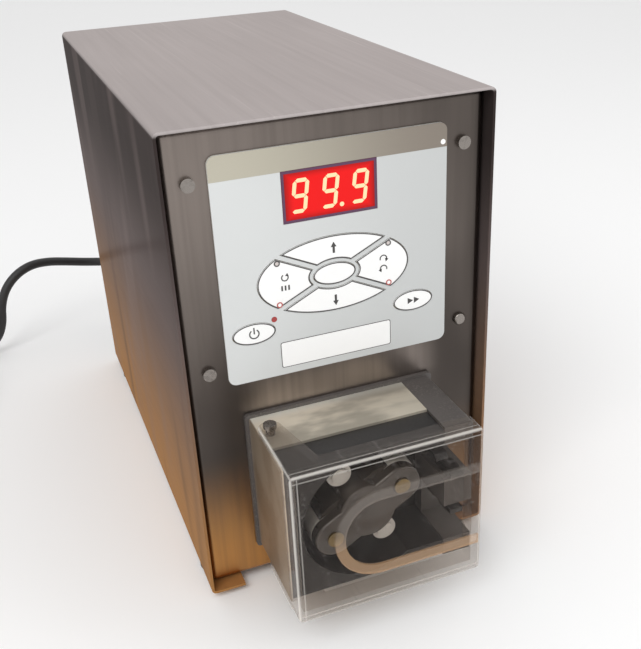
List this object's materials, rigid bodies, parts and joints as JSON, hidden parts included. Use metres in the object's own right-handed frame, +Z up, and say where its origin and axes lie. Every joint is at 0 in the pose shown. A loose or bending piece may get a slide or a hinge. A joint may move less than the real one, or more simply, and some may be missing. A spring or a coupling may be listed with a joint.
{
  "type": "peristaltic pump",
  "caption": "Bench peristaltic pump: bent steel case, membrane keypad with red digits, roller head behind a clear hinged guard, black mains cord.",
  "frame": {"origin": "on the floor under the middle of the pump, case and head together, the cord left out", "axes": "+Z up, -Y out of the keypad side, +X to the right as seen from the front"},
  "size_m": [0.323, 0.3733, 0.218],
  "materials": {
    "shell_steel": "satin bent sheet, finely brushed",
    "panel_steel": "upright brushed sheet",
    "hood_steel": "brushed sheet with fine scratches",
    "base_steel": "plain sheet",
    "screw_steel": "small polished screws",
    "rubber": "moulded rubber",
    "keypad_film": "printed polyester film",
    "key_white": "printed white film",
    "window_red": "tinted window",
    "display_black": "potted display",
    "lamp_red": "small lamp",
    "copper_film": "printed circuit film",
    "board_green": "circuit board",
    "chip_black": "moulded component",
    "head_black": "black moulding, satin",
    "frame_grey": "dusty dark grey moulding",
    "clear_plastic": "clear polycarbonate",
    "rotor_smoke": "smoky dark moulding",
    "nylon_white": "white nylon",
    "brass": "turned brass",
    "shaft_steel": "ground steel",
    "drive_grey": "painted drive casing",
    "supply_metal": "folded sheet box",
    "cord_black": "black mains cord",
    "plug_black": "moulded plug"
  },
  "bodies": {
    "root": {"outer_shell": "shell_steel", "base_plate": "base_steel", "front_panel": "panel_steel", "rear_panel": "panel_steel", "rubber_feet": "rubber", "foot_screws": "screw_steel", "rear_screws": "screw_steel", "rear_nuts": "screw_steel", "panel_screws": "screw_steel", "keypad_overlay": "keypad_film", "keypad_circuit": "copper_film", "key_domes": "screw_steel", "run_lamp": "lamp_red", "display_window": "window_red", "led_display": "display_black", "control_board": "board_green", "board_chips": "chip_black", "board_posts": "screw_steel", "board_screws": "screw_steel", "gearbox": "drive_grey", "motor": "drive_grey", "shaft_bush": "brass", "head_mount": "frame_grey", "track_block": "head_black", "head_bolts": "screw_steel", "head_hood": "hood_steel", "clamp_frame": "frame_grey", "frame_screws": "screw_steel", "guard_pivots": "screw_steel", "power_supply": "supply_metal", "supply_screws": "screw_steel", "fuse_holder": "chip_black", "cable_gland": "plug_black", "gland_nut": "chip_black", "power_cord": "cord_black", "cord_coil": "cord_black", "plug_lead": "cord_black", "mains_plug": "plug_black", "plug_pins": "brass"},
    "rotor": {"drive_shaft": "shaft_steel", "rotor_plate": "rotor_smoke", "rotor_body": "rotor_smoke", "rotor_cap": "rotor_smoke", "roller_pins": "brass", "guide_pins": "brass"},
    "pressure_roller_1": {"roller_1": "nylon_white"},
    "pressure_roller_2": {"roller_2": "nylon_white"},
    "tube_guide_1": {"guide_roller_1": "nylon_white"},
    "tube_guide_2": {"guide_roller_2": "nylon_white"},
    "guard_door": {"guard": "clear_plastic"},
    "lower_clamp": {"lower_tube_clamp": "head_black"},
    "upper_clamp": {"upper_tube_clamp": "head_black"},
    "faster_key_cap": {"faster_key": "key_white"},
    "slower_key_cap": {"slower_key": "key_white"},
    "direction_key_cap": {"direction_key": "key_white"},
    "mode_key_cap": {"mode_key": "key_white"},
    "start_key_cap": {"start_key": "key_white"},
    "power_key_cap": {"power_key": "key_white"},
    "prime_key_cap": {"prime_key": "key_white"}
  },
  "joints": [
    {"name": "rotor_spin", "type": "hinge", "parent": "root", "child": "rotor", "pos_m": [-0.006, -0.1223, 0.05525], "axis": [0, 1, 0], "continuous": true},
    {"name": "roller_1_spin", "type": "hinge", "parent": "rotor", "child": "pressure_roller_1", "pos_m": [0.00959, -0.1223, 0.06425], "axis": [0, 1, 0], "continuous": true},
    {"name": "roller_2_spin", "type": "hinge", "parent": "rotor", "child": "pressure_roller_2", "pos_m": [-0.02159, -0.1223, 0.04625], "axis": [0, 1, 0], "continuous": true},
    {"name": "guide_1_spin", "type": "hinge", "parent": "rotor", "child": "tube_guide_1", "pos_m": [-0.016, -0.1223, 0.07257], "axis": [0, 1, 0], "continuous": true},
    {"name": "guide_2_spin", "type": "hinge", "parent": "rotor", "child": "tube_guide_2", "pos_m": [0.004, -0.1223, 0.03793], "axis": [0, 1, 0], "continuous": true},
    {"name": "guard_hinge", "type": "hinge", "parent": "root", "child": "guard_door", "pos_m": [-0.039, -0.1133, 0.055], "axis": [0, 0, 1], "range_deg": [-95, 0]},
    {"name": "lower_clamp_slide", "type": "slide", "parent": "root", "child": "lower_clamp", "axis": [0, 0, -1], "range_m": [0, 0.009]},
    {"name": "upper_clamp_slide", "type": "slide", "parent": "root", "child": "upper_clamp", "axis": [0, 0, 1], "range_m": [0, 0.009]},
    {"name": "faster_key_press", "type": "slide", "parent": "root", "child": "faster_key_cap", "axis": [0, 1, 0], "range_m": [0, 0.00025], "stiffness_N_per_m": 400},
    {"name": "slower_key_press", "type": "slide", "parent": "root", "child": "slower_key_cap", "axis": [0, 1, 0], "range_m": [0, 0.00025], "stiffness_N_per_m": 400},
    {"name": "direction_key_press", "type": "slide", "parent": "root", "child": "direction_key_cap", "axis": [0, 1, 0], "range_m": [0, 0.00025], "stiffness_N_per_m": 400},
    {"name": "mode_key_press", "type": "slide", "parent": "root", "child": "mode_key_cap", "axis": [0, 1, 0], "range_m": [0, 0.00025], "stiffness_N_per_m": 400},
    {"name": "start_key_press", "type": "slide", "parent": "root", "child": "start_key_cap", "axis": [0, 1, 0], "range_m": [0, 0.00025], "stiffness_N_per_m": 400},
    {"name": "power_key_press", "type": "slide", "parent": "root", "child": "power_key_cap", "axis": [0, 1, 0], "range_m": [0, 0.00025], "stiffness_N_per_m": 400},
    {"name": "prime_key_press", "type": "slide", "parent": "root", "child": "prime_key_cap", "axis": [0, 1, 0], "range_m": [0, 0.00025], "stiffness_N_per_m": 400}
  ]
}
